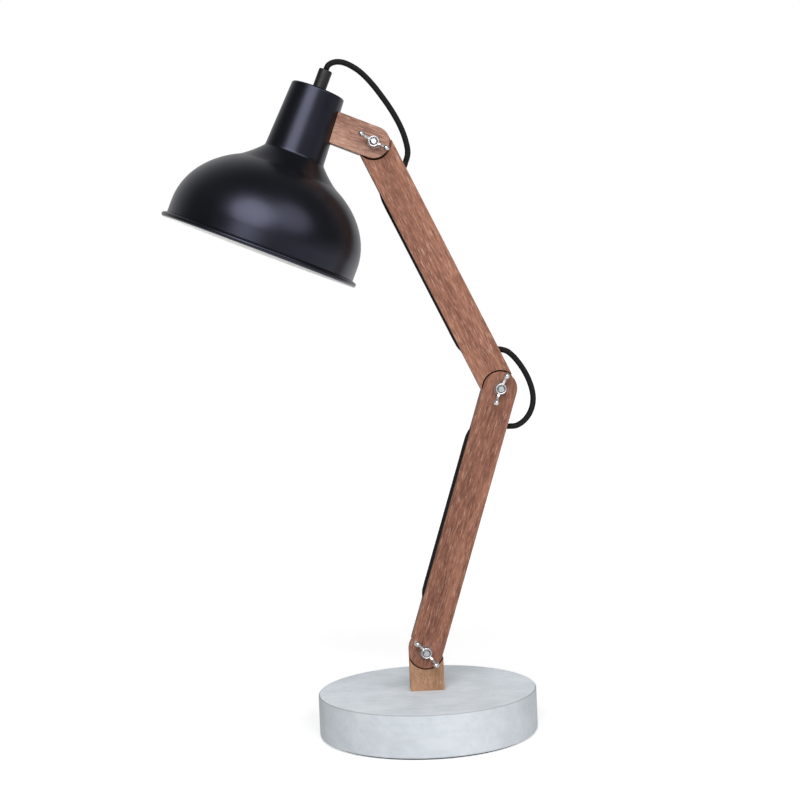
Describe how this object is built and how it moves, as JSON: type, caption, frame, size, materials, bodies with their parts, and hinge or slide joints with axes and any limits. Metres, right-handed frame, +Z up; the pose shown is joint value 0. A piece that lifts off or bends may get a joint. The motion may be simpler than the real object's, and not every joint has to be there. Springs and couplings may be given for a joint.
{
  "type": "table lamp with shade",
  "caption": "Jointed desk lamp: round concrete base, two half-lapped wooden arms on wing-nut pivots, and a black domed metal shade on a textile-covered lead.",
  "frame": {"origin": "centre of the round base's underside, on the surface that the lamp stands on", "axes": "+Z up; the arms fold in the XZ plane, the shade reaches toward -X, the wing nuts face -Y and the mains lead leaves toward +Y"},
  "size_m": [0.3476, 0.315, 0.6465],
  "materials": {
    "concrete": "fine-cast light grey concrete, matt, with small pores",
    "felt": "thin black felt",
    "oak": "light oak, oiled, straight grain",
    "brown_wood": "reddish brown stained wood, fine open grain",
    "dark_wood": "the same stained wood, from a darker board",
    "link_wood": "pinkish brown wood, fine grain",
    "zinc": "bright zinc-plated steel",
    "fibre": "dark pressed fibre",
    "shade_black": "satin black powder coat",
    "shade_white": "white enamel on the inside of the shade",
    "black_plastic": "black moulded plastic",
    "pin_metal": "nickel-plated brass",
    "bulb_metal": "plain rolled cap",
    "opal_glass": "opal white glass",
    "hook_and_loop": "black hook-and-loop strap",
    "braid": "black woven textile sleeve"
  },
  "bodies": {
    "base": {"felt_pad": "felt", "concrete_base": "concrete", "base_post": "oak", "post_screw_left": "zinc", "post_screw_right": "zinc", "post_screw_washer_left": "zinc", "post_screw_washer_right": "zinc", "base_bolt": "zinc", "base_washer": "zinc", "base_fibre_washer": "fibre", "mains_lead": "braid", "switch_lower_shell": "black_plastic", "switch_upper_shell": "black_plastic", "lead_switch_to_coil": "braid", "lead_coil": "braid", "coil_tie": "hook_and_loop", "lead_coil_to_plug": "braid", "plug_body": "black_plastic", "plug_pin_near": "pin_metal", "plug_pin_far": "pin_metal"},
    "lower_arm": {"lower_arm": "dark_wood", "lower_arm_cord": "braid", "elbow_cord_loop": "braid"},
    "upper_arm": {"upper_arm": "brown_wood", "upper_arm_cord": "braid", "head_cord_loop": "braid", "elbow_bolt": "zinc", "elbow_washer": "zinc", "elbow_fibre_washer": "fibre", "head_bolt": "zinc", "head_washer": "zinc", "head_fibre_washer": "fibre"},
    "head": {"head_link": "link_wood", "link_screw_1": "zinc", "link_screw_2": "zinc", "shade": "shade_black", "cable_grip": "black_plastic", "grip_ring": "zinc", "threaded_nipple": "zinc", "nipple_nut": "zinc", "lampholder_cap": "black_plastic", "lampholder_shell": "black_plastic", "bulb_cap": "bulb_metal", "bulb_globe": "opal_glass"},
    "base_wing_nut": {"base_wing_nut": "zinc"},
    "elbow_wing_nut": {"elbow_wing_nut": "zinc"},
    "head_wing_nut": {"head_wing_nut": "zinc"},
    "switch_rocker": {"switch_rocker": "black_plastic"}
  },
  "joints": [
    {"name": "base_pivot", "type": "hinge", "parent": "base", "child": "lower_arm", "pos_m": [0, 0, 0.08], "axis": [0, 1, 0], "range_deg": [-64, 28], "deforming": ["mains_lead"]},
    {"name": "elbow_pivot", "type": "hinge", "parent": "lower_arm", "child": "upper_arm", "pos_m": [0.08096, 0, 0.32918], "axis": [0, 1, 0], "range_deg": [-3, 58], "deforming": ["elbow_cord_loop"]},
    {"name": "head_pivot", "type": "hinge", "parent": "upper_arm", "child": "head", "pos_m": [-0.02976, 0, 0.56663], "axis": [0, 1, 0], "range_deg": [-5, 89], "deforming": ["head_cord_loop"]},
    {"name": "base_nut_turn", "type": "hinge", "parent": "base", "child": "base_wing_nut", "pos_m": [0, 0, 0.08], "axis": [0, -1, 0], "range_deg": [0, 360]},
    {"name": "elbow_nut_turn", "type": "hinge", "parent": "upper_arm", "child": "elbow_wing_nut", "pos_m": [0.08096, 0, 0.32918], "axis": [0, -1, 0], "range_deg": [0, 360]},
    {"name": "head_nut_turn", "type": "hinge", "parent": "upper_arm", "child": "head_wing_nut", "pos_m": [-0.02976, 0, 0.56663], "axis": [0, -1, 0], "range_deg": [0, 360]},
    {"name": "switch_toggle", "type": "hinge", "parent": "base", "child": "switch_rocker", "pos_m": [-0.038, 0.122, 0.015], "axis": [0, 1, 0], "range_deg": [-14, 0]}
  ]
}
